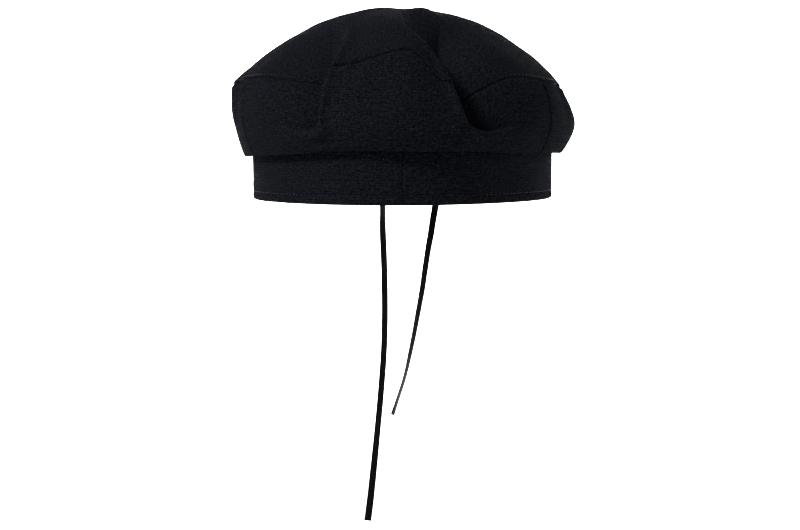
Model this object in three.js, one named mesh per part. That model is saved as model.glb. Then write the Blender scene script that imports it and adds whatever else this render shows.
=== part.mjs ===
import * as THREE from "three";

// Soft sailor cap: a round top panel sewn to a puffed side ring, set onto a plain head band,
// with two narrow ribbons that hang at the back. Millimetres, +Z up, front towards -Y.
// The origin is the middle of the head opening, level with the lower edge of the band.
// Directions round the cap are degrees from the front, positive towards +X.

const bandHalfWidth = 89;
const bandHalfLength = 102;
const bandHeight = 30.5;
const bandThick = 2.5;
const clothThick = 1.4;
const crownPeak = new THREE.Vector3(16, 0, 112.2);
const pieceGap = 0.4;
const seamGap = 0.9;
const ribbonWidth = 4.8;

// The crown's turned-in lower edge, beside the band and above it.
const joinEdge = { out: -1.2, up: 0.9 };
const joinUnder = { out: 2.0, up: 0.4 };

// Heights up a section of the crown, from the sewn join on the band to the middle of the top.
const level = {
  join: 0, under: 1, roll: 2, low: 3, mid: 4, seam: 5, edge: 6, flank: 7, shoulder: 8, middle: 9,
};
const rowsPerSpan = [1, 2, 2, 3, 3, 3, 3, 3, 2];

// How far the top panel's rings lie out from its middle, as a share of the seam's distance.
const ringShare = { edge: 0.9, flank: 0.68, shoulder: 0.42 };

// A row for each direction: "Out" is how far the cloth stands out from the band.
const sections = table(
  ["angle", "rollOut", "rollZ", "lowOut", "lowZ", "midOut", "midZ", "seamOut", "seamZ",
    "edgeZ", "flankZ", "shoulderZ"],
  [-150, 5.0, 26.0, 11.0, 37.0, 13.0, 53.0, 9.0, 66.0, 76.0, 91.5, 103.5],
  [-120, 5.0, 25.5, 10.5, 36.5, 14.0, 54.0, 11.0, 67.0, 77.0, 92.5, 104.0],
  [-90, 4.5, 25.0, 9.0, 36.0, 13.2, 54.0, 12.0, 68.0, 77.0, 93.2, 106.2],
  [-62, 4.5, 26.0, 9.5, 37.0, 12.0, 55.0, 8.0, 71.0, 82.0, 96.8, 108.3],
  [-40, 4.5, 27.5, 9.5, 38.5, 11.0, 56.0, 5.0, 72.0, 84.0, 98.5, 109.8],
  [-20, 4.5, 29.5, 10.0, 40.0, 9.0, 58.0, 1.0, 78.0, 88.5, 101.5, 109.5],
  [-8, 4.5, 29.5, 10.0, 40.3, 8.5, 59.0, -0.5, 82.5, 91.5, 103.0, 109.8],
  [2, 4.5, 29.5, 10.0, 40.5, 8.5, 59.0, -1.0, 85.5, 92.5, 103.5, 110.0],
  [7, 4.5, 29.2, 10.0, 40.5, 8.5, 57.0, 0.0, 80.0, 91.0, 103.2, 110.2],
  [12, 4.5, 29.0, 10.0, 40.5, 8.8, 54.5, 2.0, 70.5, 88.0, 102.5, 110.5],
  [17, 4.5, 29.0, 10.0, 40.2, 9.2, 53.0, 3.5, 67.0, 86.0, 102.0, 110.5],
  [24, 4.5, 29.0, 10.0, 40.0, 9.5, 53.0, 4.0, 67.5, 84.5, 100.5, 110.0],
  [40, 4.5, 27.5, 9.5, 39.5, 10.0, 55.5, 4.0, 70.5, 82.5, 96.5, 107.0],
  [62, 4.5, 27.0, 11.0, 39.0, 11.5, 54.0, 6.0, 68.5, 79.0, 94.5, 106.5],
  [90, 5.0, 26.0, 13.8, 41.5, 11.5, 53.5, 6.0, 65.0, 76.5, 92.5, 105.0],
  [120, 5.0, 26.0, 13.0, 40.0, 12.0, 54.0, 8.0, 65.0, 75.5, 91.5, 102.5],
  [150, 5.0, 26.0, 12.0, 38.0, 13.0, 53.0, 9.0, 65.0, 74.5, 90.5, 102.5],
  [180, 5.0, 26.0, 11.5, 37.0, 13.0, 52.0, 9.0, 65.0, 74.5, 90.5, 102.5],
);

// A fold is a dent whose deepest line runs from the side ring up over the seam onto the top.
// atLow, atSeam, atFlank and atShoulder give that line's direction; side is +1 where the dent
// opens slowly towards +X from a steep wall, and -1 the other way about; round is how far its
// lower edge climbs as it nears that wall.
const folds = table(
  ["name", "side", "atLow", "atSeam", "atFlank", "atShoulder", "start", "floor", "fade", "end",
    "depth", "drop", "steepSeam", "steepTop", "openSeam", "openTop", "lip", "round"],
  ["left_pocket", -1, -25.5, -30, -40, -66, 2.95, 3.4, 5.3, 7.8, 10, 5, 7.5, 11, 52, 50, 1.9, 0.2],
  ["right_pocket", 1, 24, 21.5, 23, 34, 2.95, 3.35, 6.5, 8.3, 15.5, 9, 7.5, 28, 48, 36, 1.8, 0.12],
  ["left_tuck", -1, -75, -75, -75, -75, 2.8, 4.0, 4.8, 5.6, 3, 0.5, 9, 9, 16, 16, 0, 0],
  ["right_tuck", 1, 74, 74, 74, 74, 2.8, 4.0, 4.8, 5.6, 3, 0.5, 9, 9, 16, 16, 0, 0],
  ["back_right", 1, 110, 116, 118, 128, 2.9, 3.8, 5.2, 7.6, 5.5, 3, 16, 24, 50, 42, 0.5, 0.2],
  ["back_middle", -1, 172, 170, 168, 160, 2.9, 3.8, 5.2, 7.6, 4.5, 2.5, 18, 24, 44, 38, 0.4, 0.2],
  ["back_left", -1, -124, -126, -128, -140, 2.9, 3.8, 5.2, 7.6, 5.5, 3, 16, 24, 50, 42, 0.5, 0.2],
);

// Dents push the cloth towards this place, and reach lowest this far beyond their deepest line.
const dentTarget = new THREE.Vector3(0, 0, 42);
const foldBend = 9;
const foldTop = 8.3;

// The lip that stands up round a dent: how far out it lies and how wide it is, as shares of the
// dent's reach, and the share of the open side where it has died away.
const lipShape = { at: 1.25, wide: 0.35, gone: 0.7 };

function table(columns, ...rows) {
  return rows.map((row) => Object.fromEntries(columns.map((column, i) => [column, row[i]])));
}

function smoothStep(value) {
  return THREE.MathUtils.smoothstep(value, 0, 1);
}

function wrapDegrees(angle) {
  return THREE.MathUtils.euclideanModulo(angle + 180, 360) - 180;
}

// A column of the section table, read between its rows by a smooth curve that closes on itself.
function sectionValue(column, angle) {
  const last = sections.length;
  const row = (i) => sections[THREE.MathUtils.euclideanModulo(i, last)];
  const from = (i) => row(i).angle + 360 * Math.floor(i / last);
  let turned = wrapDegrees(angle);
  if (turned < from(0)) turned += 360;
  let i = 0;
  while (from(i + 1) <= turned) i += 1;
  const slope = (k) => (row(k + 1)[column] - row(k - 1)[column]) / (from(k + 1) - from(k - 1));
  const span = from(i + 1) - from(i);
  const s = (turned - from(i)) / span;
  const rise = s * s * (3 - 2 * s);
  return row(i)[column] * (1 - rise) + row(i + 1)[column] * rise
    + span * (slope(i) * s * (1 - s) ** 2 - slope(i + 1) * s * s * (1 - s));
}

// The point that lies a given way out from the band, square to it.
function besideBand(angle, out, z) {
  const turn = THREE.MathUtils.degToRad(angle);
  const square = new THREE.Vector3(bandHalfLength * Math.sin(turn), -bandHalfWidth * Math.cos(turn), 0);
  const onBand = new THREE.Vector3(bandHalfWidth * Math.sin(turn), -bandHalfLength * Math.cos(turn), z);
  return onBand.addScaledVector(square.normalize(), out);
}

// The crown's section in one direction, before it is folded.
const sectionCurves = new Map();
function sectionCurve(angle) {
  const key = wrapDegrees(angle).toFixed(3);
  if (!sectionCurves.has(key)) {
    const at = (column) => sectionValue(column, angle);
    const seam = besideBand(angle, at("seamOut"), at("seamZ"));
    const ring = (name) => seam.clone().multiplyScalar(ringShare[name]).setZ(at(`${name}Z`));
    sectionCurves.set(key, new THREE.CatmullRomCurve3([
      besideBand(angle, joinEdge.out, bandHeight + joinEdge.up),
      besideBand(angle, joinUnder.out, bandHeight + joinUnder.up),
      besideBand(angle, at("rollOut"), at("rollZ")),
      besideBand(angle, at("lowOut"), at("lowZ")),
      besideBand(angle, at("midOut"), at("midZ")),
      seam,
      ring("edge"),
      ring("flank"),
      ring("shoulder"),
      crownPeak,
    ]));
  }
  return sectionCurves.get(key);
}

// How much of a fold's depth, and of the raised lip beside it, reaches a place on the crown.
function foldShare(fold, angle, height) {
  const line = throughAll(THREE.MathUtils.clamp(height, fold.start, foldTop), [
    [fold.start, fold.atLow], [level.seam, fold.atSeam],
    [level.flank, fold.atFlank], [level.shoulder, fold.atShoulder],
  ]);
  const ring = readAlong(height, [
    [level.seam, 1], [level.edge, ringShare.edge], [level.flank, ringShare.flank],
    [level.shoulder, ringShare.shoulder], [level.middle, 0],
  ]);
  const across = THREE.MathUtils.degToRad(wrapDegrees(angle - line)) * fold.side * bandHalfLength * ring;
  const high = smoothStep((height - level.seam) / (level.flank - level.seam));
  const steep = THREE.MathUtils.lerp(fold.steepSeam, fold.steepTop, high);
  const open = THREE.MathUtils.lerp(fold.openSeam, fold.openTop, high);
  const climb = fold.round * (THREE.MathUtils.clamp(foldBend - across, 0, 2 * foldBend) / foldBend) ** 2;
  const below = Math.max(0, (fold.floor + climb - height) / (fold.floor - fold.start));
  const reach = Math.hypot(across < 0 ? -across / steep : across / open, below);
  const away = Math.min(1, reach);
  const steepWall = THREE.MathUtils.lerp(smoothStep(1 - away), 1 - away ** 1.5, high);
  const openWall = (1 - away) ** 3 * (1 + 1.6 * away);
  const towardsSteep = reach > 0 ? smoothStep(-across / steep / reach) : 0;
  const wall = THREE.MathUtils.lerp(openWall, steepWall, towardsSteep);
  const fade = 1 - smoothStep((height - fold.fade) / (fold.end - fold.fade));
  const lip = Math.exp(-(((reach - lipShape.at) / lipShape.wide) ** 2))
    * (1 - smoothStep(across / (lipShape.gone * open)));
  return { dent: wall * fade, lip: lip * fade };
}

// The one smooth curve that runs through every [place, value] pair.
function throughAll(place, pairs) {
  return pairs.reduce((sum, [at, value]) => sum + pairs.reduce(
    (share, [other]) => (other === at ? share : (share * (place - other)) / (at - other)), value,
  ), 0);
}

// Straight lines between [place, value] pairs.
function readAlong(place, pairs) {
  const after = pairs.findIndex(([at]) => at > place);
  if (after === 0) return pairs[0][1];
  if (after < 0) return pairs[pairs.length - 1][1];
  const [[fromAt, from], [toAt, to]] = [pairs[after - 1], pairs[after]];
  return THREE.MathUtils.mapLinear(place, fromAt, toAt, from, to);
}

// The outside of the folded crown.
function crownPoint(angle, height) {
  const point = sectionCurve(angle).getPoint(THREE.MathUtils.clamp(height / level.middle, 0, 1));
  const inward = dentTarget.clone().sub(point).normalize();
  for (const fold of folds) {
    const share = foldShare(fold, angle, height);
    point.addScaledVector(inward, fold.depth * share.dent - fold.lip * share.lip);
    point.z -= fold.drop * share.dent;
  }
  return point;
}

// The way out of the cloth, from the slopes along and across it.
function crownNormal(angle, height) {
  const step = 0.03;
  const turn = 0.5;
  const place = THREE.MathUtils.clamp(height, level.join + step, level.middle - 2 * step);
  const along = crownPoint(angle + turn, place).sub(crownPoint(angle - turn, place));
  const upward = crownPoint(angle, place + step).sub(crownPoint(angle, place - step));
  return along.cross(upward).normalize();
}

// A place on the crown's outside and the one straight behind it on the inside. Along the seam
// the place is moved half a gap to the named side, so that sewn panels stay clear of each other.
function clothPair(angle, height, seamSide) {
  let place = height;
  if (height === level.seam) {
    const step = 0.02 * seamSide;
    const slope = crownPoint(angle, height + step).distanceTo(crownPoint(angle, height));
    place += (step * seamGap) / 2 / slope;
  }
  const outside = crownPoint(angle, place);
  return { outside, inside: outside.clone().addScaledVector(crownNormal(angle, height), -clothThick) };
}

function geometryOf(points, faces) {
  const geometry = new THREE.BufferGeometry();
  geometry.setAttribute("position", new THREE.Float32BufferAttribute(points.flatMap((p) => p.toArray()), 3));
  geometry.setIndex(faces.flat());
  geometry.computeVertexNormals();
  return geometry;
}

// A closed wall of cloth: the faces outside, the same faces turned over inside, and a rim
// wherever an edge has a face on one side only.
function clothWall(pairs, faces) {
  const count = pairs.length;
  const edges = new Set(faces.flatMap(([a, b, c]) => [`${a},${b}`, `${b},${c}`, `${c},${a}`]));
  const ends = [...edges].map((edge) => edge.split(",").map(Number));
  const rim = ends.filter(([a, b]) => !edges.has(`${b},${a}`));
  return geometryOf([...pairs.map((pair) => pair.outside), ...pairs.map((pair) => pair.inside)], [
    ...faces,
    ...faces.map(([a, b, c]) => [count + a, count + c, count + b]),
    ...rim.flatMap(([a, b]) => [[b, a, count + a], [b, count + a, count + b]]),
  ]);
}

// Two triangles for each cell of a grid whose points are stored row by row.
function gridFaces(rows, columns, closed) {
  const faces = [];
  for (let r = 0; r + 1 < rows; r += 1) {
    for (let c = 0; c + (closed ? 0 : 1) < columns; c += 1) {
      const [low, lowNext] = [r * columns + c, r * columns + ((c + 1) % columns)];
      faces.push([low, lowNext, lowNext + columns], [low, lowNext + columns, low + columns]);
    }
  }
  return faces;
}

// Directions round part of the cap, closer together at the front where the folds are sharp.
function directions(from, to) {
  const frontEnd = 64;
  const frontStep = 3.1;
  const backStep = 5.6;
  const shortest = 1.2;
  const list = [from];
  while (list[list.length - 1] < to) {
    const at = list[list.length - 1];
    const step = Math.abs(wrapDegrees(at + shortest)) < frontEnd ? frontStep : backStep;
    list.push(to - at < step + shortest ? to : at + step);
  }
  return list;
}

// The same, drawn in by half a gap at both ends.
function directionsWithGap(from, to) {
  const halfGap = THREE.MathUtils.radToDeg(pieceGap / 2 / bandHalfWidth);
  const list = directions(from, to);
  list[0] += halfGap;
  list[list.length - 1] -= halfGap;
  return list;
}

function rowsBetween(from, to) {
  const rows = [from];
  for (let span = from; span < to; span += 1) {
    for (let i = 1; i <= rowsPerSpan[span]; i += 1) rows.push(span + i / rowsPerSpan[span]);
  }
  return rows;
}

function sidePanel(from, to) {
  const columns = directionsWithGap(from, to);
  const rows = rowsBetween(level.join, level.seam);
  const pairs = rows.flatMap((row) => columns.map((column) => clothPair(column, row, -1)));
  return clothWall(pairs, gridFaces(rows.length, columns.length, false));
}

function topPanel() {
  const columns = directions(-180, 180).slice(0, -1);
  const rows = rowsBetween(level.seam, level.middle).slice(0, -1);
  const pairs = rows.flatMap((row) => columns.map((column) => clothPair(column, row, 1)));
  const faces = gridFaces(rows.length, columns.length, true);
  const peak = pairs.length;
  const lastRow = peak - columns.length;
  columns.forEach((_, c) => faces.push([lastRow + c, lastRow + ((c + 1) % columns.length), peak]));
  pairs.push({ outside: crownPeak.clone(), inside: crownPeak.clone().setZ(crownPeak.z - clothThick) });
  return clothWall(pairs, faces);
}

// Half of the head band: a folded strip whose lower edge is rounded and whose face leans out.
const bandRound = 0.9;
const bandLean = 0.5;

function bandHalf(from, to) {
  const profile = [
    [-bandThick + bandRound, 0], [-bandRound, 0], [0, bandRound], [bandLean, bandHeight - bandRound],
    [bandLean / 2, bandHeight], [-bandThick + bandRound, bandHeight],
    [-bandThick, bandHeight - bandRound], [-bandThick, bandRound],
  ];
  const columns = directionsWithGap(from, to);
  const points = columns.flatMap((angle) => profile.map(([out, z]) => besideBand(angle, out, z)));
  const count = profile.length;
  const faces = [];
  for (let c = 0; c + 1 < columns.length; c += 1) {
    for (let p = 0; p < count; p += 1) {
      const [at, up] = [c * count + p, c * count + ((p + 1) % count)];
      faces.push([at, at + count, up + count], [at, up + count, up]);
    }
  }
  const cap = THREE.ShapeUtils.triangulateShape(profile.map(([out, z]) => new THREE.Vector2(out, z)), []);
  const end = (columns.length - 1) * count;
  for (const [a, b, c] of cap) faces.push([a, b, c], [end + a, end + c, end + b]);
  return geometryOf(points, faces);
}

// Each ribbon's route, from its bar tack inside the back of the band down to its cut end.
const ribbonRoutes = {
  ribbon_long: table(["x", "y", "z"],
    [-12.6, 95.5, 9], [-12.6, 95.5, 4], [-12.6, 95.5, -2], [-12.5, 95.6, -9], [-12.5, 96.0, -24],
    [-11.9, 96.6, -40], [-11.5, 97.0, -56], [-11.4, 97.4, -72], [-11.6, 97.7, -88], [-12.3, 97.9, -104],
    [-13.5, 98.0, -120], [-15.1, 98.0, -138], [-17.0, 97.9, -157], [-19.1, 97.8, -177], [-21.2, 97.6, -196],
    [-23.2, 97.4, -211.6]),
  ribbon_short: table(["x", "y", "z"],
    [22.9, 93.0, 9], [22.6, 93.0, 4], [21.9, 93.0, -2], [21.0, 93.2, -9], [19.4, 93.6, -18],
    [18.2, 94.1, -26], [16.7, 94.5, -34], [15.4, 94.9, -42], [13.9, 95.3, -52], [12.3, 95.7, -63],
    [9.9, 96.0, -76], [7.3, 96.2, -90], [4.4, 96.3, -104], [1.2, 96.3, -118], [-2.9, 96.2, -131],
    [-6.9, 96.0, -143]),
};

function ribbonTube(route) {
  const sides = 8;
  const section = new THREE.Shape(Array.from({ length: sides }, (_, i) => {
    const turn = (i / sides) * 2 * Math.PI;
    return new THREE.Vector2(Math.cos(turn), Math.sin(turn)).multiplyScalar(ribbonWidth / 2);
  }));
  const path = new THREE.CatmullRomCurve3(route.map(({ x, y, z }) => new THREE.Vector3(x, y, z)));
  const steps = Math.round(path.getLength() / (ribbonWidth * 2.5));
  return new THREE.ExtrudeGeometry(section, { extrudePath: path, steps, bevelEnabled: false });
}

const cloth = { color: 0x131418, roughness: 0.95, metalness: 0 };
const satin = { color: 0x18181a, roughness: 0.55, metalness: 0 };
const sideSeams = { right: 57, left: -66 };

const pieces = [
  ["top_panel", topPanel(), cloth],
  ["side_panel_front", sidePanel(sideSeams.left, sideSeams.right), cloth],
  ["side_panel_back", sidePanel(sideSeams.right, sideSeams.left + 360), cloth],
  ["band_left", bandHalf(-180, 0), cloth],
  ["band_right", bandHalf(0, 180), cloth],
  ["ribbon_long", ribbonTube(ribbonRoutes.ribbon_long), satin],
  ["ribbon_short", ribbonTube(ribbonRoutes.ribbon_short), satin],
];

const cap = new THREE.Group();
for (const [name, geometry, look] of pieces) {
  const mesh = new THREE.Mesh(geometry, new THREE.MeshStandardMaterial(look));
  mesh.name = name;
  cap.add(mesh);
}

export default cap;
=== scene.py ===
import bmesh
import bpy
import math
import numpy as np
from mathutils import Matrix, Vector, noise


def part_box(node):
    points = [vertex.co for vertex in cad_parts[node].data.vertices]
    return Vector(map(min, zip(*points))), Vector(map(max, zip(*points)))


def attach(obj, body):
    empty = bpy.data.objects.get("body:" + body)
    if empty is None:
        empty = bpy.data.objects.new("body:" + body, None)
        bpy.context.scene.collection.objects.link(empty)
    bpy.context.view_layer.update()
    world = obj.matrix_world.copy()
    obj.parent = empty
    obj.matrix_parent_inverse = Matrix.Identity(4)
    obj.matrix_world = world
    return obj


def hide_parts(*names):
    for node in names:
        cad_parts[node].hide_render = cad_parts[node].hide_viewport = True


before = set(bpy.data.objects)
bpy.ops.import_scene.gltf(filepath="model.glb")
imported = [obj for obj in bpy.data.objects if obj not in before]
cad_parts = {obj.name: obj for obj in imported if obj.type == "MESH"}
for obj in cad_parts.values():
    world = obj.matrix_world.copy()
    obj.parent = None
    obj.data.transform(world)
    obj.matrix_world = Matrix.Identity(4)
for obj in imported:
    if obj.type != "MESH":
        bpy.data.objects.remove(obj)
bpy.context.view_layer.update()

mm = 0.001                              # tables are in millimetres, the scene in metres


def hexColor(text, alpha=1.0):
    # sRGB hex to the linear colour that shader sockets take
    def linear(channel):
        value = int(channel, 16) / 255
        return value / 12.92 if value <= 0.04045 else ((value + 0.055) / 1.055) ** 2.4
    return (*[linear(text[i:i + 2]) for i in (1, 3, 5)], alpha)


def rows(columns, *lines):
    # a short table as one array for each named column
    names = columns.split()
    return {name: np.array([line[i] for line in lines]) for i, name in enumerate(names)}


def easeIn(value):
    value = np.clip(value, 0, 1)
    return value * value * (3 - 2 * value)


def wrapDegrees(angle):
    return (np.asarray(angle, float) + 180) % 360 - 180


def addNode(tree, kind, settings=None, links=None, **inputs):
    # one shader node: its properties, the sockets that hold values, and (input, from node, output) links
    node = tree.nodes.new(kind)
    for name, value in (settings or {}).items():
        setattr(node, name, value)
    for name, value in inputs.items():
        key = int(name[1:]) if name[0] == "n" and name[1:].isdigit() else name.replace("_", " ")
        node.inputs[key].default_value = value
    for socket, source, output in links or []:
        tree.links.new(source.outputs[output], node.inputs[socket])
    return node


def meshPiece(name, points, faces, material, uvs=None):
    # points are in millimetres; uvs, also in millimetres, has one row for each point
    mesh = bpy.data.meshes.new(name)
    mesh.from_pydata((np.asarray(points) * mm).tolist(), [], [list(map(int, f)) for f in faces])
    body = bmesh.new()
    body.from_mesh(mesh)
    bmesh.ops.recalc_face_normals(body, faces=body.faces)
    body.to_mesh(mesh)
    body.free()
    mesh.polygons.foreach_set("use_smooth", [True] * len(mesh.polygons))
    if uvs is not None:
        corner = np.empty(len(mesh.loops), dtype=int)
        mesh.loops.foreach_get("vertex_index", corner)
        layer = mesh.uv_layers.new(name="cloth")
        layer.data.foreach_set("uv", np.asarray(uvs)[corner].astype(float).ravel())
    mesh.materials.append(material)
    piece = bpy.data.objects.new(name, mesh)
    bpy.context.scene.collection.objects.link(piece)
    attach(piece, "root")
    return piece


cameraPlace = {
    "eye": (-1.65, -1450.0, 50.0),      # mm
    "lookDown": 3.571,                  # degrees
    "tilt": 0.25,                       # degrees, the cap's right side a little higher
    "lens": 108.96,                     # mm on a 36 mm sensor
}


def placeCamera():
    down = math.radians(cameraPlace["lookDown"])
    forward = Vector((0, math.cos(down), -math.sin(down)))
    right = Vector((1, 0, 0))
    up = right.cross(forward)
    turn = Matrix((right, up, -forward)).transposed()
    roll = Matrix.Rotation(math.radians(-cameraPlace["tilt"]), 3, "Z")
    camera = bpy.data.objects.new("camera", bpy.data.cameras.new("camera"))
    camera.data.lens = cameraPlace["lens"]
    camera.data.sensor_width = 36
    camera.data.clip_end = 50
    camera.matrix_world = Matrix.Translation(Vector(cameraPlace["eye"]) * mm) @ (turn @ roll).to_4x4()
    bpy.context.scene.collection.objects.link(camera)
    bpy.context.scene.camera = camera


placeCamera()
print("camera placed")


clothLook = {
    "black": "#030405",         # piece-dyed cotton, a cold black
    "lintAndPaintedGlint": "#1d1f25",          # fibre ends that stand up from the thread, and the painted highlight on the thread tops
    "roughness": 0.88,
    "gloss": 0.002,             # specular level: dull fibre gives back almost no mirror light
    "sheen": 0.0035,
    "sheenRoughness": 0.35,
    "sheenTint": "#dcdee8",
    "threadEvery": 1.7,         # mm; the real threads lie 0.5 mm apart, drawn coarser so that they show
    "weftFiner": 1.12,          # the weft is beaten a little closer than the warp
    "wander": 2.6,              # mm that a thread strays, at the most
    "weaveDepth": 0.16,         # mm
    "fuzzDepth": 0.22,          # mm
}


def cottonCanvasWovenBlack():
    # Cotton canvas, piece-dyed black: matt, with a fine grain of crossing threads and a faint
    # bloom of fibre ends that lightens it where it turns away from the eye.
    look = clothLook
    material = bpy.data.materials.new("cotton_canvas_woven_black")
    material.use_nodes = True
    tree = material.node_tree
    shader = tree.nodes["Principled BSDF"]
    shader.inputs["Roughness"].default_value = look["roughness"]
    shader.inputs["IOR"].default_value = 1.5
    shader.inputs["Specular IOR Level"].default_value = look["gloss"]
    shader.inputs["Sheen Weight"].default_value = look["sheen"]
    shader.inputs["Sheen Roughness"].default_value = look["sheenRoughness"]
    shader.inputs["Sheen Tint"].default_value = hexColor(look["sheenTint"])
    place = addNode(tree, "ShaderNodeUVMap", {"uv_map": "cloth"})
    # the threads wander a little, so the rows never line up like print
    wander = addNode(tree, "ShaderNodeTexNoise", {"noise_dimensions": "2D"}, [("Vector", place, "UV")],
                     Scale=0.22, Detail=3.0, Roughness=0.65)
    shift = addNode(tree, "ShaderNodeVectorMath", {"operation": "MULTIPLY_ADD"},
                    [(0, wander, "Color"), (2, place, "UV")])
    shift.inputs[1].default_value = (look["wander"], look["wander"], 0)
    split = addNode(tree, "ShaderNodeSeparateXYZ", links=[(0, shift, "Vector")])
    turns = 2 * math.pi / look["threadEvery"]
    threads = []
    for axis, finer in (("X", 1.0), ("Y", look["weftFiner"])):
        phase = addNode(tree, "ShaderNodeMath", {"operation": "MULTIPLY"}, [(0, split, axis)],
                        n1=turns * finer)
        threads.append(addNode(tree, "ShaderNodeMath", {"operation": "SINE"}, [(0, phase, 0)]))
    warp, weft = threads
    crossing = addNode(tree, "ShaderNodeMath", {"operation": "MULTIPLY"}, [(0, warp, 0), (1, weft, 0)])
    # the weft stands highest, with the crossings next and the warp under them
    high = addNode(tree, "ShaderNodeMath", {"operation": "MULTIPLY_ADD"},
                   [(0, crossing, 0), (2, weft, 0)], n1=0.9)
    weave = addNode(tree, "ShaderNodeMath", {"operation": "MULTIPLY_ADD"},
                    [(0, warp, 0), (2, high, 0)], n1=0.45)
    fuzz = addNode(tree, "ShaderNodeTexNoise", {"noise_dimensions": "2D"}, [("Vector", place, "UV")],
                   Scale=0.62, Detail=4.0, Roughness=0.8)
    weaveBump = addNode(tree, "ShaderNodeBump", links=[("Height", weave, 0)],
                        Strength=0.6, Distance=look["weaveDepth"] * mm)
    fuzzBump = addNode(tree, "ShaderNodeBump",
                       links=[("Height", fuzz, "Fac"), ("Normal", weaveBump, "Normal")],
                       Strength=0.8, Distance=look["fuzzDepth"] * mm)
    # fibre ends and uneven dye, with a painted highlight on the thread tops and painted shade between them
    lint = addNode(tree, "ShaderNodeMapRange", links=[("Value", fuzz, "Fac")],
                   From_Min=0.38, From_Max=0.66, To_Min=0.0, To_Max=0.6)
    # painted highlight and shade: the colour is lightened where the weave stands high and darkened where it
    # lies low
    paintedThreadLightAndShade = addNode(tree, "ShaderNodeMapRange", links=[("Value", weave, 0)],
                          From_Min=-1.6, From_Max=1.6, To_Min=-0.12, To_Max=0.3)
    amount = addNode(tree, "ShaderNodeMath", {"operation": "ADD", "use_clamp": True},
                     [(0, lint, 0), (1, paintedThreadLightAndShade, 0)])
    # the lighter colour carries both the fibre ends and the painted highlight on the thread tops
    lintAndGlintMix = addNode(tree, "ShaderNodeMix", {"data_type": "RGBA"}, [(0, amount, 0)])
    lintAndGlintMix.inputs[6].default_value = hexColor(look["black"])
    lintAndGlintMix.inputs[7].default_value = hexColor(look["lintAndPaintedGlint"])
    tree.links.new(lintAndGlintMix.outputs[2], shader.inputs["Base Color"])
    tree.links.new(fuzzBump.outputs["Normal"], shader.inputs["Normal"])
    return material


satinLook = {
    "black": "#050506",
    "roughness": 0.45,
    "gloss": 0.035,             # specular level
    "ribDepth": 0.08,           # mm
}


def polyesterSatinWovenBlack():
    # Narrow satin ribbon: floats of fine polyester give a soft gloss along its length.
    material = bpy.data.materials.new("polyester_satin_woven_black")
    material.use_nodes = True
    tree = material.node_tree
    shader = tree.nodes["Principled BSDF"]
    shader.inputs["Base Color"].default_value = hexColor(satinLook["black"])
    shader.inputs["Roughness"].default_value = satinLook["roughness"]
    shader.inputs["IOR"].default_value = 1.54
    shader.inputs["Specular IOR Level"].default_value = satinLook["gloss"]
    place = addNode(tree, "ShaderNodeUVMap", {"uv_map": "cloth"})
    ribs = addNode(tree, "ShaderNodeTexNoise", {"noise_dimensions": "2D"}, [("Vector", place, "UV")],
                   Scale=2.2, Detail=3.0, Roughness=0.6)
    bump = addNode(tree, "ShaderNodeBump", links=[("Height", ribs, "Fac")],
                   Strength=0.5, Distance=satinLook["ribDepth"] * mm)
    tree.links.new(bump.outputs["Normal"], shader.inputs["Normal"])
    return material


threadLook = {
    "black": "#0a0a0c",
    "roughness": 0.6,
    "gloss": 0.08,              # specular level
    "twistDepth": 0.1,          # mm
}


def threadSpunBlack():
    # Core-spun sewing thread: a shade glossier than the cloth it holds, so that stitches catch light.
    material = bpy.data.materials.new("sewing_thread_spun_black")
    material.use_nodes = True
    tree = material.node_tree
    shader = tree.nodes["Principled BSDF"]
    shader.inputs["Base Color"].default_value = hexColor(threadLook["black"])
    shader.inputs["Roughness"].default_value = threadLook["roughness"]
    shader.inputs["Specular IOR Level"].default_value = threadLook["gloss"]
    shader.inputs["IOR"].default_value = 1.54
    twist = addNode(tree, "ShaderNodeTexNoise", Scale=2500.0, Detail=1.0)
    bump = addNode(tree, "ShaderNodeBump", links=[("Height", twist, "Fac")],
                   Strength=0.3, Distance=threadLook["twistDepth"] * mm)
    tree.links.new(bump.outputs["Normal"], shader.inputs["Normal"])
    return material


canvas = cottonCanvasWovenBlack()
satin = polyesterSatinWovenBlack()
thread = threadSpunBlack()
print("materials made")


ribbonCut = {
    "width": 4.8,                       # mm
    "thick": 0.45,
    "cup": 0.25,                        # how far the strip cups across its width
    "stepEvery": 1.6,
    "turnPasses": 6,                    # how often its turning is smoothed
    # where each hangs, in mm, from the bar tack inside the band to the cut end
    "longRoute": [
        (-12.6, 95.5, 9), (-12.6, 95.5, 4), (-12.6, 95.5, -2), (-12.5, 95.6, -9), (-12.5, 96.0, -24),
        (-11.9, 96.6, -40), (-11.5, 97.0, -56), (-11.4, 97.4, -72), (-11.6, 97.7, -88), (-12.3, 97.9, -104),
        (-13.5, 98.0, -120), (-15.1, 98.0, -138), (-17.0, 97.9, -157), (-19.1, 97.8, -177),
        (-21.2, 97.6, -196), (-23.2, 97.4, -211.6)],
    "shortRoute": [
        (22.9, 93.0, 9), (22.6, 93.0, 4), (21.9, 93.0, -2), (21.0, 93.2, -9), (19.4, 93.6, -18),
        (18.2, 94.1, -26), (16.7, 94.5, -34), (15.4, 94.9, -42), (13.9, 95.3, -52), (12.3, 95.7, -63),
        (9.9, 96.0, -76), (7.3, 96.2, -90), (4.4, 96.3, -104), (1.2, 96.3, -118), (-2.9, 96.2, -131),
        (-6.9, 96.0, -143)],
    # how far the ribbon has turned round its own line, in degrees, at shares of its length
    "longTurn": [(0, 30), (0.06, 46), (0.1, 42), (0.16, 30), (0.3, 33), (0.75, 32), (0.9, 18), (1, 8)],
    "shortTurn": [(0, -14), (0.1, -18), (0.3, -37), (0.5, -45), (0.7, -56), (0.82, -66), (0.92, -69),
                  (1, -62)],
}


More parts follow.
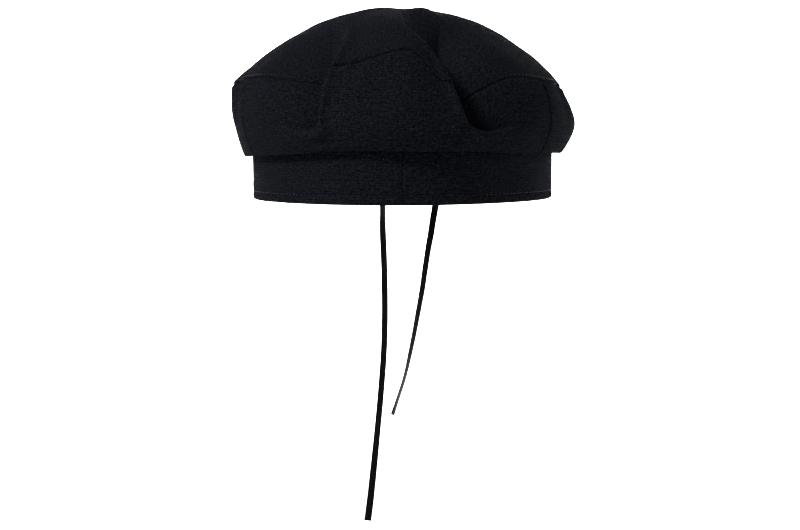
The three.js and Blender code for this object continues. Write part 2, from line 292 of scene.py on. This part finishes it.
def smoothRoute(points, every):
    # a smooth line through given points, evenly spaced along its length
    perSpan = 24
    points = np.asarray(points, float)
    padded = np.vstack([2 * points[0] - points[1], points, 2 * points[-1] - points[-2]])
    fine = []
    for i in range(len(points) - 1):
        a, b, c, d = padded[i:i + 4]
        for s in np.linspace(0, 1, perSpan, endpoint=False):
            fine.append(0.5 * (2 * b + (c - a) * s + (2 * a - 5 * b + 4 * c - d) * s * s
                               + (3 * b - a - 3 * c + d) * s ** 3))
    fine.append(points[-1])
    fine = np.array(fine)
    along = np.concatenate([[0], np.cumsum(np.linalg.norm(np.diff(fine, axis=0), axis=1))])
    even = np.linspace(0, along[-1], max(2, round(along[-1] / every)) + 1)
    return np.stack([np.interp(even, along, fine[:, k]) for k in range(3)], 1), along[-1]


def hangRibbon(name, node, route, turns):
    # a flat strip with thicker woven edges, turning slowly round its own line
    line, length = smoothRoute(route, ribbonCut["stepEvery"])
    count = len(line)
    share = np.linspace(0, 1, count)
    at, degrees = np.array(turns).T
    turn = np.radians(np.interp(share, at, degrees))
    for _ in range(ribbonCut["turnPasses"]):
        turn[1:-1] = (turn[:-2] + 2 * turn[1:-1] + turn[2:]) / 4
    tangent = np.gradient(line, axis=0)
    tangent /= np.linalg.norm(tangent, axis=1, keepdims=True)
    across = np.cross(tangent, [0, 1, 0])
    across /= np.linalg.norm(across, axis=1, keepdims=True)
    facing = np.cross(across, tangent)
    wide = across * np.cos(turn)[:, None] + facing * np.sin(turn)[:, None]
    flat = np.cross(wide, tangent)
    half, thin = ribbonCut["width"] / 2, ribbonCut["thick"] / 2
    # across the ribbon: (share of half the width, share of half the thickness)
    upper = [(-1, 0.5), (-0.94, 1.25), (-0.8, 0.9), (-0.4, 0.8), (0, 0.75),
             (0.4, 0.8), (0.8, 0.9), (0.94, 1.25), (1, 0.5)]
    rim = upper + [(w, -t) for w, t in reversed(upper)]
    points, uvs = [], []
    along = share * length
    for i in range(count):
        cup = ribbonCut["cup"] * math.sin(3.1 * share[i] + 0.6)      # now one way, now the other
        for w, t in rim:
            points.append(line[i] + wide[i] * half * w + flat[i] * (thin * t + cup * (w * w - 0.4)))
            uvs.append((half * w, along[i]))
    k = len(rim)
    faces = [(i * k + j, i * k + (j + 1) % k, (i + 1) * k + (j + 1) % k, (i + 1) * k + j)
             for i in range(count - 1) for j in range(k)]
    for start, step in ((0, -1), ((count - 1) * k, 1)):
        for j in range(k // 2 - 1):
            face = (start + j, start + j + 1, start + k - 2 - j, start + k - 1 - j)
            faces.append(face[::step])
    piece = meshPiece(name, points, faces, satin, uvs)
    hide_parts(node)
    print(f"{name}: {length:.0f} mm long")


hangRibbon("long_ribbon", "ribbon_long", ribbonCut["longRoute"], ribbonCut["longTurn"])
hangRibbon("short_ribbon", "ribbon_short", ribbonCut["shortRoute"], ribbonCut["shortTurn"])


bandHigh = np.array(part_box("band_right")[1]) / mm

bandCut = {
    "halfWidth": 89.0,                  # the ellipse that its lower part stands on, mm
    "halfLength": 102.0,
    "height": bandHigh[2],
    "thick": 2.5,
    "lean": 0.55,                       # how far the upper edge leans out
    "hemStitchAt": 5.2,                 # above the lower edge
    "groove": 0.35,                     # how deep the hem's stitches pull in
    "hemRoll": 0.25,                    # how far the rolled hem swells below them
    "hemStep": 0.15,                    # and how far its turned edge shows above them
    "pucker": 0.09,
    "puckerEvery": 6.3,
    "seamIn": 0.4,                      # how far the cloth turns in at its two seams
    "seamWide": 0.6,
    "around": 520,                      # columns
    "wave": 0.35,                       # how far the cloth wanders in and out
    "droop": 1.2,                       # how far the rim hangs lower at the front
}


def besideBand(angle, out, z):
    # the point a given way out from the band, square to it
    turn = np.radians(angle)
    x, y = bandCut["halfLength"] * np.sin(turn), -bandCut["halfWidth"] * np.cos(turn)
    size = np.hypot(x, y)
    return np.stack(np.broadcast_arrays(
        bandCut["halfWidth"] * np.sin(turn) + out * x / size,
        -bandCut["halfLength"] * np.cos(turn) + out * y / size, z), -1)


def arcTable():
    angle = np.linspace(-180, 180, 2881)
    line = besideBand(angle, 0, 0)
    along = np.concatenate([[0], np.cumsum(np.linalg.norm(np.diff(line, axis=0), axis=1))])
    return angle, along - np.interp(0, angle, along)


arcAngles, arcLengths = arcTable()


def arcAt(angle):
    # how far round the band a direction lies from the centre front, in mm
    turned = np.asarray(angle, float)
    whole = np.round((turned - wrapDegrees(turned)) / 360)
    return np.interp(wrapDegrees(turned), arcAngles, arcLengths) + whole * (arcLengths[-1] - arcLengths[0])


def angleAt(arc):
    return np.interp(arc, arcLengths, arcAngles)


def gridFaces(tall, wide, closed=False):
    r, c = np.meshgrid(np.arange(tall - 1), np.arange(wide if closed else wide - 1), indexing="ij")
    low, lowNext = r * wide + c, r * wide + (c + 1) % wide
    return np.stack([low, lowNext, lowNext + wide, low + wide], -1).reshape(-1, 4)


stitchCut = {
    "every": 3.2,                       # mm from one stitch to the next
    "long": 2.2,
    "thick": 0.5,
    "flatness": 0.8,                    # how tall a stitch is for its width
    "sunk": 0.1,                        # how far each end is drawn into the cloth
    "sides": 6,
    "ringsAt": (-0.5, -0.42, -0.2, 0.2, 0.42, 0.5),     # shares of its length, from its middle
}


def stitchRow(name, line, out, closed=False):
    # a row of stitches lying along a line on the cloth, every one a thread end to end in its holes
    line, out = np.asarray(line, float), np.asarray(out, float)
    if closed:
        line, out = np.vstack([line, line[:1]]), np.vstack([out, out[:1]])
    run = np.concatenate([[0], np.cumsum(np.linalg.norm(np.diff(line, axis=0), axis=1))])

    def read(values, at):
        return np.array([np.interp(at, run, values[:, k]) for k in range(3)])

    count = int(run[-1] / stitchCut["every"])
    sides, rings = stitchCut["sides"], stitchCut["ringsAt"]
    points, faces = [], []
    for n in range(count):
        middle = (n + 0.5) * run[-1] / count
        base = len(points)
        for share in rings:
            at = middle + share * stitchCut["long"]
            here = read(line, at)
            ahead = read(line, at + 0.3) - here
            ahead /= max(np.linalg.norm(ahead), 1e-9)
            across = np.cross(ahead, read(out, at))
            across /= np.linalg.norm(across)
            up = np.cross(across, ahead)
            # the thread is round in the middle and nearly shut where it enters the cloth
            toEnd = 2 * abs(share)
            half = stitchCut["thick"] * 0.5 * (math.sqrt(max(0.0, 1 - toEnd ** 4)) * 0.9 + 0.1)
            lift = 0.6 * (half - stitchCut["sunk"] * toEnd ** 2)
            for k in range(sides):
                turn = 2 * math.pi * k / sides
                points.append(here + up * (lift + half * math.sin(turn) * stitchCut["flatness"])
                              + across * half * math.cos(turn))
        for r in range(len(rings) - 1):
            for k in range(sides):
                p, q = base + r * sides + k, base + r * sides + (k + 1) % sides
                faces.append((p, q, q + sides, p + sides))
        faces.append(tuple(base + k for k in range(sides))[::-1])
        faces.append(tuple(base + (len(rings) - 1) * sides + k for k in range(sides)))
    meshPiece(name, points, faces, thread)


def bandOutside(angle, z):
    # how far out the band's face lies: the rolled hem, the stitched groove over it and a slow wander
    share = z / bandCut["height"]
    hem = bandCut["hemStitchAt"]
    groove = -bandCut["groove"] * np.exp(-((z - hem) / 0.9) ** 2)
    roll = (bandCut["hemRoll"] * np.exp(-((z - hem * 0.45) / 1.8) ** 2)
            + bandCut["hemStep"] * np.exp(-((z - hem - 3.2) / 2.2) ** 2))
    turn = np.radians(angle)
    wander = bandCut["wave"] * (0.5 * np.sin(3 * turn + 0.7) + 0.35 * np.sin(7 * turn + 2.1 + 2 * share)
                                + 0.3 * np.sin(13 * turn + 1.3 - 3 * share)) * share
    beat = np.sin(arcAt(angle) * 2 * np.pi / bandCut["puckerEvery"] + 0.8 * np.sin(turn * 17))
    pucker = bandCut["pucker"] * beat * np.exp(-((z - hem) / 3) ** 2)
    return bandCut["lean"] * share + groove + roll + wander + pucker


def droopAt(angle, z):
    # heights on the band, lower towards the rim at the front
    share = (0.5 + 0.5 * np.cos(np.radians(angle))) ** 3
    return z - bandCut["droop"] * share * (1 - z / bandCut["height"])


def sewBand(name, node, start, end):
    # half of the band, from the centre front seam to the centre back one
    angle = np.linspace(start, end, bandCut["around"] // 2)
    fromSeam = np.minimum(np.abs(arcAt(angle) - arcAt(start)), np.abs(arcAt(angle) - arcAt(end)))
    seamIn = bandCut["seamIn"] * np.exp(-(fromSeam / bandCut["seamWide"]) ** 2)
    height, thick = bandCut["height"], bandCut["thick"]
    # (how far a rounded edge falls back, height), up the outside and then down the inside
    climb = (0.9, 1.5, 2.2, 3.0, 3.8, 4.6, 5.1, 5.6, 6.1, 6.7, 7.5, 8.7, 10.5, 13, 16, 19, 22, 25, 27.5)
    outer = [(1.3, 0.0), (0.585, 0.35)] + [(0, z) for z in climb] + [(0, height - 0.8), (0.36, height)]
    inner = [(0.5, height), (0, height - 0.8), (0, 22), (0, 14), (0, 7), (0, 1.5), (0.5, 0.5)]
    ring = [besideBand(angle, bandOutside(angle, np.full_like(angle, z)) - back - seamIn, droopAt(angle, z))
            for back, z in outer]
    ring += [besideBand(angle, bandCut["lean"] * z / height - thick + back, droopAt(angle, z))
             for back, z in inner]
    tall, wide = len(ring), len(angle)
    points = np.concatenate(ring)
    uvs = np.concatenate([np.stack([arcAt(angle), np.full_like(angle, z)], 1) for _, z in outer + inner])
    # the grid runs up the outside and down the inside, and closes on itself underneath
    faces = [tuple(f) for f in gridFaces(tall, wide)]
    last = (tall - 1) * wide
    faces += [(last + c, last + c + 1, c + 1, c) for c in range(wide - 1)]
    for c, step in ((0, 1), (wide - 1, -1)):
        faces.append(tuple(r * wide + c for r in range(tall))[::-step])
    piece = meshPiece(name, points, faces, canvas, uvs)
    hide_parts(node)
    hemZ = np.full_like(angle, bandCut["hemStitchAt"])
    line = besideBand(angle, bandOutside(angle, hemZ), droopAt(angle, hemZ))
    turn = np.radians(angle)
    wayOut = np.stack([np.sin(turn), -np.cos(turn), 0 * turn], -1)
    between = slice(4, -4)              # the stitches stop short of the seams
    stitchRow(name + "_hem_stitches", line[between], wayOut[between])


sewBand("head_band_left", "band_left", -180, 0)
sewBand("head_band_right", "band_right", 0, 180)
print("head band sewn")


# Heights up a section of the crown, from the sewn join on the band to the middle of the top:
# 0 join, 1 under, 2 roll, 3 low, 4 mid, 5 seam, 6 edge, 7 flank, 8 shoulder, 9 middle.
seamLevel, topLevel = 5.0, 9.0
ringAt = np.array([0, 5, 6, 7, 8, 9])
ringShare = np.array([1, 1, 0.9, 0.68, 0.42, 0])

crownCut = {
    "clothThick": 1.2,
    "peak": (16.0, 0.0, 112.2),         # the highest place, mm
    "columns": 620,
    "sideRows": 84,
    "topRows": 76,
    "sideSeams": (-66.0, 57.0),         # degrees from the front
    "topstitchAt": 1.8,                 # mm above the seam round the top panel
    "seamGroove": 0.6,                  # how far the seamed edges turn in
    "seamWide": 0.9,
    "seamRidge": 0.18,                  # how far the turned allowance lifts the cloth beside it
    "pucker": 0.32,
    "puckerEvery": 7.5,
    "slack": 0.55,                      # slow unevenness of cloth with nothing behind it
    "slackEvery": (34.0, 12.0),         # its coarse and fine sizes
    "join": ((-1.2, 0.9), (2.0, 0.4)),  # its first two places: out from the band, above the band's edge
    "dentTarget": (0.0, 0.0, 42.0),     # what the folds and hollows are pressed towards
    "levelHigh": 15,                    # about the height of one level, mm
}

# A row for each direction: "Out" is how far the cloth stands out from the band.
sections = rows(
    "angle rollOut rollZ lowOut lowZ midOut midZ seamOut seamZ edgeZ flankZ shoulderZ",
    (-150, 5.0, 26.0, 11.0, 37.0, 13.0, 53.0, 9.0, 66.0, 76.0, 91.5, 103.5),
    (-120, 5.0, 25.5, 10.5, 36.5, 14.0, 54.0, 11.0, 67.0, 77.0, 92.5, 104.0),
    (-90, 4.5, 25.0, 9.0, 36.0, 13.2, 54.0, 12.0, 68.0, 77.0, 93.2, 106.2),
    (-62, 4.5, 26.0, 9.5, 37.0, 12.0, 55.0, 8.0, 71.0, 82.0, 96.8, 108.3),
    (-40, 4.5, 27.5, 9.5, 38.5, 11.0, 56.0, 5.0, 72.0, 84.0, 98.5, 109.8),
    (-20, 4.5, 29.5, 10.0, 40.0, 9.0, 58.0, 1.0, 78.0, 88.5, 101.5, 109.5),
    (-8, 4.5, 29.5, 10.0, 40.3, 8.5, 59.0, -0.5, 82.5, 91.5, 103.0, 109.8),
    (2, 4.5, 29.5, 10.0, 40.5, 8.5, 59.0, -1.0, 85.5, 92.5, 103.5, 110.0),
    (7, 4.5, 29.2, 10.0, 40.5, 8.5, 57.0, 0.0, 80.0, 91.0, 103.2, 110.2),
    (12, 4.5, 29.0, 10.0, 40.5, 8.8, 54.5, 2.0, 70.5, 88.0, 102.5, 110.5),
    (17, 4.5, 29.0, 10.0, 40.2, 9.2, 53.0, 3.5, 67.0, 86.0, 102.0, 110.5),
    (24, 4.5, 29.0, 10.0, 40.0, 9.5, 53.0, 4.0, 67.5, 84.5, 100.5, 110.0),
    (40, 4.5, 27.5, 9.5, 39.5, 10.0, 55.5, 4.0, 70.5, 82.5, 96.5, 107.0),
    (62, 4.5, 27.0, 11.0, 39.0, 11.5, 54.0, 6.0, 68.5, 79.0, 94.5, 106.5),
    (90, 5.0, 26.0, 13.8, 41.5, 11.5, 53.5, 6.0, 65.0, 76.5, 92.5, 105.0),
    (120, 5.0, 26.0, 13.0, 40.0, 12.0, 54.0, 8.0, 65.0, 75.5, 91.5, 102.5),
    (150, 5.0, 26.0, 12.0, 38.0, 13.0, 53.0, 9.0, 65.0, 74.5, 90.5, 102.5),
    (180, 5.0, 26.0, 11.5, 37.0, 13.0, 52.0, 9.0, 65.0, 74.5, 90.5, 102.5),
)

# A fold is a dent whose deepest line runs from the side ring up over the seam onto the top.
# side is +1 where it opens slowly towards +X from a steep wall, and -1 the other way about;
# round is how far the lower edge climbs as it nears that wall.
folds = rows(
    "side atLow atSeam atFlank atShoulder start floor fade end depth drop "
    "steepSeam steepTop openSeam openTop lip round",
    (-1, -25.5, -30, -40, -66, 2.95, 3.4, 5.3, 7.8, 10, 5, 7.5, 11, 52, 50, 1.9, 0.2),      # left pocket
    (1, 24, 21.5, 23, 34, 2.95, 3.35, 6.5, 8.3, 15.5, 9, 7.5, 28, 48, 36, 1.8, 0.12),       # right pocket
    (-1, -75, -75, -75, -75, 2.8, 4.0, 4.8, 5.6, 3, 0.5, 9, 9, 16, 16, 0, 0),       # tuck by the left seam
    (1, 74, 74, 74, 74, 2.8, 4.0, 4.8, 5.6, 3, 0.5, 9, 9, 16, 16, 0, 0),            # and by the right one
    (1, 110, 116, 118, 128, 2.9, 3.8, 5.2, 7.6, 5.5, 3, 16, 24, 50, 42, 0.5, 0.2),          # at the back
    (-1, 172, 170, 168, 160, 2.9, 3.8, 5.2, 7.6, 4.5, 2.5, 18, 24, 44, 38, 0.4, 0.2),
    (-1, -124, -126, -128, -140, 2.9, 3.8, 5.2, 7.6, 5.5, 3, 16, 24, 50, 42, 0.5, 0.2),
)

# Shallow hollows, and swellings where the depth is below nought; reach is their radius in mm.
hollows = rows(
    "angle height reach depth",
    (-16.5, 4.95, 7, 1.6),
    (-8, 4.25, 15, 1.0),
    (12, 4.0, 14, 0.9),
    (2, 3.5, 24, -0.8),
)


def sectionValue(column, angle):
    # a column of the section table, read between its rows by a smooth curve that closes on itself
    x, y = sections["angle"].astype(float), sections[column].astype(float)
    x = np.concatenate([x[-2:] - 360, x, x[:2] + 360])
    y = np.concatenate([y[-2:], y, y[:2]])
    slope = np.zeros_like(y)
    slope[1:-1] = (y[2:] - y[:-2]) / (x[2:] - x[:-2])
    turned = wrapDegrees(angle)
    i = np.clip(np.searchsorted(x, turned, side="right") - 1, 1, len(x) - 3)
    span = x[i + 1] - x[i]
    s = (turned - x[i]) / span
    rise = s * s * (3 - 2 * s)
    return (y[i] * (1 - rise) + y[i + 1] * rise
            + span * (slope[i] * s * (1 - s) ** 2 - slope[i + 1] * s * s * (1 - s)))


def sectionPoints(angle):
    # the ten set points of the section in each direction
    value = {name: sectionValue(name, angle) for name in sections if name != "angle"}
    height = bandCut["height"]
    seam = besideBand(angle, value["seamOut"], value["seamZ"])
    points = [besideBand(angle, out + 0 * angle, height + above + 0 * angle)
              for out, above in crownCut["join"]]
    points += [besideBand(angle, value[f"{name}Out"], value[f"{name}Z"]) for name in ("roll", "low", "mid")]
    points.append(seam)
    for name, share in zip(("edge", "flank", "shoulder"), ringShare[2:5]):
        points.append(np.stack([seam[..., 0] * share, seam[..., 1] * share, value[f"{name}Z"]], -1))
    points.append(np.broadcast_to(np.array(crownCut["peak"]), seam.shape))
    return np.stack(points)


def sectionCurve(angle, height):
    # a centripetal Catmull-Rom curve through the set points; angle and height have one shape
    points = sectionPoints(angle)
    padded = np.concatenate([2 * points[:1] - points[1:2], points, 2 * points[-1:] - points[-2:-1]])
    k = np.clip(np.floor(height).astype(int), 0, len(points) - 2)
    pick = lambda n: np.take_along_axis(padded, (k + n)[None, ..., None], 0)[0]
    a, b, c, d = (pick(n) for n in range(4))
    gap = [np.sqrt(np.linalg.norm(q - p, axis=-1, keepdims=True)) + 1e-6
           for p, q in ((a, b), (b, c), (c, d))]
    leave = ((b - a) / gap[0] - (c - a) / (gap[0] + gap[1]) + (c - b) / gap[1]) * gap[1]
    reach = ((c - b) / gap[1] - (d - b) / (gap[1] + gap[2]) + (d - c) / gap[2]) * gap[1]
    s = (height - k)[..., None]
    return (b * (1 + s * s * (2 * s - 3)) + c * s * s * (3 - 2 * s)
            + leave * s * (1 - s) ** 2 - reach * s * s * (1 - s))


foldShape = {
    "bend": 9.0,                        # mm beyond the deepest line where a fold reaches lowest
    "top": 8.3,                         # level above which its deepest line turns no further
    "lipAt": 1.25,                      # where the raised lip stands, in shares of the fold's reach
    "lipWide": 0.35,
    "lipGone": 0.7,                     # share of the open wall's width where the lip has died away
}


def foldShares(i, angle, height):
    # how much of a fold's depth, and of the raised lip beside it, reaches each place
    fold = {name: float(folds[name][i]) for name in folds}
    places = [fold["start"], 5, 7, 8]
    directions = [fold[name] for name in ("atLow", "atSeam", "atFlank", "atShoulder")]
    line = np.polyval(np.polyfit(places, directions, 3), np.clip(height, fold["start"], foldShape["top"]))
    ring = np.interp(height, ringAt, ringShare)
    across = np.radians(wrapDegrees(angle - line)) * fold["side"] * bandCut["halfLength"] * ring
    high = easeIn((height - 5) / 2)
    steep = fold["steepSeam"] + (fold["steepTop"] - fold["steepSeam"]) * high
    wide = fold["openSeam"] + (fold["openTop"] - fold["openSeam"]) * high
    bend = foldShape["bend"]
    climb = fold["round"] * (np.clip(bend - across, 0, 2 * bend) / bend) ** 2
    below = np.clip((fold["floor"] + climb - height) / (fold["floor"] - fold["start"]), 0, None)
    reach = np.hypot(np.where(across < 0, -across / steep, across / wide), below)
    away = np.minimum(reach, 1)
    steepWall = easeIn(1 - away) * (1 - high) + (1 - away ** 1.5) * high
    openWall = (1 - away) ** 3 * (1 + 1.6 * away)
    towardsSteep = easeIn(-across / steep / np.maximum(reach, 1e-6))
    wall = openWall + (steepWall - openWall) * towardsSteep
    fade = 1 - easeIn((height - fold["fade"]) / (fold["end"] - fold["fade"]))
    lip = (np.exp(-((reach - foldShape["lipAt"]) / foldShape["lipWide"]) ** 2)
           * (1 - easeIn(across / (foldShape["lipGone"] * wide))))
    return wall * fade, lip * fade, fold


def crownPoint(angle, height):
    # the section's curve, with the folds and then the hollows pressed into it
    point = sectionCurve(angle, height)
    inward = np.array(crownCut["dentTarget"]) - point
    inward /= np.linalg.norm(inward, axis=-1, keepdims=True)
    for i in range(len(folds["side"])):
        dent, lip, fold = foldShares(i, angle, height)
        point = point + inward * (fold["depth"] * dent - fold["lip"] * lip)[..., None]
        point[..., 2] -= fold["drop"] * dent
    ring = np.interp(height, ringAt, ringShare)
    for at, up, reach, depth in zip(*(hollows[name] for name in ("angle", "height", "reach", "depth"))):
        across = np.radians(wrapDegrees(angle - at)) * bandCut["halfLength"] * ring
        away = np.hypot(across, (height - up) * crownCut["levelHigh"]) / reach
        point = point + inward * (depth * np.exp(-2 * away ** 2))[..., None]
    return point


def gridNormals(grid, closed):
    # the way out at each point of a grid stored as rows of columns
    if closed:
        along = np.roll(grid, -1, 1) - np.roll(grid, 1, 1)
    else:
        along = np.gradient(grid, axis=1)
    normal = np.cross(along, np.gradient(grid, axis=0))
    size = np.linalg.norm(normal, axis=-1, keepdims=True)
    return normal / np.maximum(size, 1e-9)


def slackness(grid, scale, seed):
    # slow smooth noise over the points of a grid, about -1 to 1
    flat = grid.reshape(-1, 3) / scale
    offset = Vector((seed * 7.3, seed * 3.1, seed * 5.7))
    values = [noise.noise(Vector(p) + offset) for p in flat.tolist()]
    return np.array(values).reshape(grid.shape[:2]) * 1.8


def alongGrid(grid, axis):
    step = np.linalg.norm(np.diff(grid, axis=axis), axis=-1)
    first = np.zeros_like(np.take(step, [0], axis=axis))
    return np.cumsum(np.concatenate([first, step], axis=axis), axis=axis)


def seamTexture(grid, normal, seamAway, arc, seed, share=1.0):
    # the edge turns in at the seam, and the stitching draws the cloth up into small puckers beside it
    groove = crownCut["seamGroove"] * np.exp(-(seamAway / crownCut["seamWide"]) ** 1.5)
    ridge = crownCut["seamRidge"] * np.exp(-((seamAway - 2.2) / 1.3) ** 2)
    beat = np.sin(arc * 2 * np.pi / crownCut["puckerEvery"]
                  + 1.7 * np.sin(arc / 31 + seed) + 0.9 * np.sin(arc / 13 + 2 * seed))
    strength = 0.5 + 0.5 * np.sin(arc / 23 + seed * 1.9)
    pucker = crownCut["pucker"] * beat * strength * np.exp(-(seamAway / 4.5)) * (seamAway > 0.0)
    return grid + normal * (share * (ridge - groove + pucker))[..., None]


def shapeCrown():
    # the whole crown as one grid of rows up from the band
    wide = crownCut["columns"]
    arc = np.linspace(arcLengths[0], arcLengths[-1], wide, endpoint=False)
    angle = angleAt(arc)
    sideHeights = seamLevel * np.linspace(0, 1, crownCut["sideRows"]) ** 1.15
    topHeights = np.linspace(seamLevel, topLevel - 0.02, crownCut["topRows"])
    heights = np.concatenate([sideHeights, topHeights[1:]])
    a, h = np.meshgrid(angle, heights)
    grid = crownPoint(a, h)
    normal = gridNormals(grid, True)
    coarse, fine = crownCut["slackEvery"]
    loose = slackness(grid, coarse, 1) + 0.35 * slackness(grid, fine, 2)
    grid = grid + normal * (crownCut["slack"] * loose * easeIn((h - 2.2) / 1.5))[..., None]
    return arc, angle, grid


def sewPanel(name, node, grid, wayOut, closed, seams, uvs, peak=None):
    # one panel as a wall of cloth: its outside, its inside and the rim between them;
    # each seam is (distance from it, distance along it, a seed for its puckers, how much of it shows)
    for seam in seams:
        grid = seamTexture(grid, wayOut, *seam)
    normal = gridNormals(grid, closed)
    tall, wide = grid.shape[:2]
    outside = grid.reshape(-1, 3)
    inside = (grid - normal * crownCut["clothThick"]).reshape(-1, 3)
    faces = [tuple(f) for f in gridFaces(tall, wide, closed)]
    flow = uvs.reshape(-1, 2)
    if peak is not None:
        ring = (tall - 1) * wide
        faces += [(ring + c, ring + (c + 1) % wide, len(outside)) for c in range(wide)]
        outside = np.vstack([outside, peak])
        inside = np.vstack([inside, peak - [0, 0, crownCut["clothThick"]]])
        flow = np.vstack([flow, [0, 0]])
    count = len(outside)
    once = set()
    for f in faces:
        for edge in zip(f, f[1:] + f[:1]):
            once.symmetric_difference_update([tuple(sorted(edge))])
    turned = [tuple(count + i for i in f[::-1]) for f in faces]
    rim = [(p, q, count + q, count + p) for p, q in once]
    piece = meshPiece(name, np.vstack([outside, inside]), faces + turned + rim, canvas,
                      np.vstack([flow, flow]))
    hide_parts(node)
    return grid, normal


def cutAndSewCrown():
    # the crown cut along its seams into the top and the two side panels
    arc, angle, grid = shapeCrown()
    wayOut = gridNormals(grid, True)
    rowsUp = alongGrid(grid, 0)
    seamRow = crownCut["sideRows"] - 1
    whole = arcLengths[-1] - arcLengths[0]
    # top panel: a flat round cut, so its weave runs straight across it
    top = grid[seamRow:]
    fromSeam = rowsUp[seamRow:] - rowsUp[seamRow]
    reach = fromSeam[-1] - fromSeam
    turn = np.radians(angle)
    flat = np.stack([reach * np.sin(turn), -reach * np.cos(turn)], -1)
    peak = top[-1].mean(0)
    sewn, out = sewPanel("crown_top", "top_panel", top, wayOut[seamRow:], True,
                         [(fromSeam, np.broadcast_to(arc, fromSeam.shape), 1.0)], flat, peak)
    columns = np.arange(len(arc))
    before = (fromSeam > crownCut["topstitchAt"]).argmax(0) - 1
    part = ((crownCut["topstitchAt"] - fromSeam[before, columns])
            / (fromSeam[before + 1, columns] - fromSeam[before, columns]))[:, None]
    line = sewn[before, columns] * (1 - part) + sewn[before + 1, columns] * part
    stitchRow("crown_topstitches", line, out[before, columns], True)
    # side ring: two panels between the side seams
    left, right = crownCut["sideSeams"]
    ring = grid[:seamRow + 1]
    toSeam = rowsUp[seamRow] - rowsUp[:seamRow + 1]
    front = np.where((angle >= left) & (angle <= right))[0]
    back = np.concatenate([np.arange(front[-1], len(angle)), np.arange(front[0] + 1)])
    for name, node, columns in (("crown_side_front", "side_panel_front", front),
                                ("crown_side_back", "side_panel_back", back)):
        part = ring[:, columns]
        along = arc[columns] + np.where(columns < columns[0], whole, 0)
        ends = np.minimum(along - along[0], along[-1] - along)
        upRows = rowsUp[:seamRow + 1, columns]
        sewPanel(name, node, part, wayOut[:seamRow + 1, columns], False,
                 [(toSeam[:, columns], np.broadcast_to(along, upRows.shape), 1.0),
                  (np.broadcast_to(ends, upRows.shape), upRows, 3.0, easeIn(toSeam[:, columns] / 5))],
                 np.stack([np.broadcast_to(along, upRows.shape), upRows], -1))


cutAndSewCrown()
print("crown cut and sewn")


roomSizes = {
    "floorDown": 0.34,                  # metres below the rim
    "wide": 9.0,
    "curve": 1.2,
    "white": "#f2f2f2",
}


def matteCardPale():
    # Plain matt card: an even pale ground with no shine.
    material = bpy.data.materials.new("matte_card_pale")
    material.use_nodes = True
    shader = material.node_tree.nodes["Principled BSDF"]
    shader.inputs["Base Color"].default_value = hexColor(roomSizes["white"])
    shader.inputs["Roughness"].default_value = 0.9
    return material


def layFloor():
    # a floor that curves up into a backdrop behind the cap
    half, curve, low = roomSizes["wide"] / 2, roomSizes["curve"], -roomSizes["floorDown"]
    back = half * 0.7
    line = [(-half, low), (back - curve, low)]
    line += [(back - curve + curve * math.sin(t), low + curve - curve * math.cos(t))
             for t in np.linspace(0, math.pi / 2, 13)[1:]]
    line.append((back, low + half))
    points = [(x, y, z) for y, z in line for x in (-half, half)]
    faces = [(i, i + 1, i + 3, i + 2) for i in range(0, len(points) - 2, 2)]
    mesh = bpy.data.meshes.new("floor")
    mesh.from_pydata(points, [], faces)
    mesh.polygons.foreach_set("use_smooth", [True] * len(faces))
    mesh.materials.append(matteCardPale())
    floor = bpy.data.objects.new("floor", mesh)
    bpy.context.scene.collection.objects.link(floor)


# Each lamp: its place and what it points at, in metres, its size, watts and spread. The spread narrows
# its cone, in degrees, so that the light keeps off the floor round the cap.
lamps = {
    "key": ((-1.5, -1.15, 1.85), (0, 0, 0.05), 0.6, 23.0, 90),
    "rimLeft": ((-1.8, 0.5, 0.4), (0, 0, 0.05), 1.0, 3.4, 100),
    "rimRight": ((1.8, 0.5, 0.4), (0, 0, 0.05), 1.0, 9.0, 100),
    "backdropLeft": ((-2.2, 1.0, 1.5), (-0.6, 3.0, 0.2), 1.2, 190.0, 110),
    "backdropRight": ((2.2, 1.0, 1.5), (0.6, 3.0, 0.2), 1.2, 190.0, 110),
}
roomGlow = 0.3                          # strength of the white room's own light


def hangLamps():
    for name, (place, target, size, watts, spread) in lamps.items():
        light = bpy.data.lights.new(name, "AREA")
        light.size = size
        light.energy = watts
        light.spread = math.radians(spread)
        holder = bpy.data.objects.new(name, light)
        holder.location = place
        aim = Vector(target) - Vector(place)
        holder.rotation_euler = aim.to_track_quat("-Z", "Y").to_euler()
        bpy.context.scene.collection.objects.link(holder)
    world = bpy.data.worlds.new("soft_white_room")
    world.use_nodes = True
    ground = world.node_tree.nodes["Background"]
    ground.inputs["Color"].default_value = hexColor("#ffffff")
    ground.inputs["Strength"].default_value = roomGlow
    bpy.context.scene.world = world
    bpy.context.scene.view_settings.view_transform = "Standard"


layFloor()
hangLamps()
print("floor laid and lamps hung")
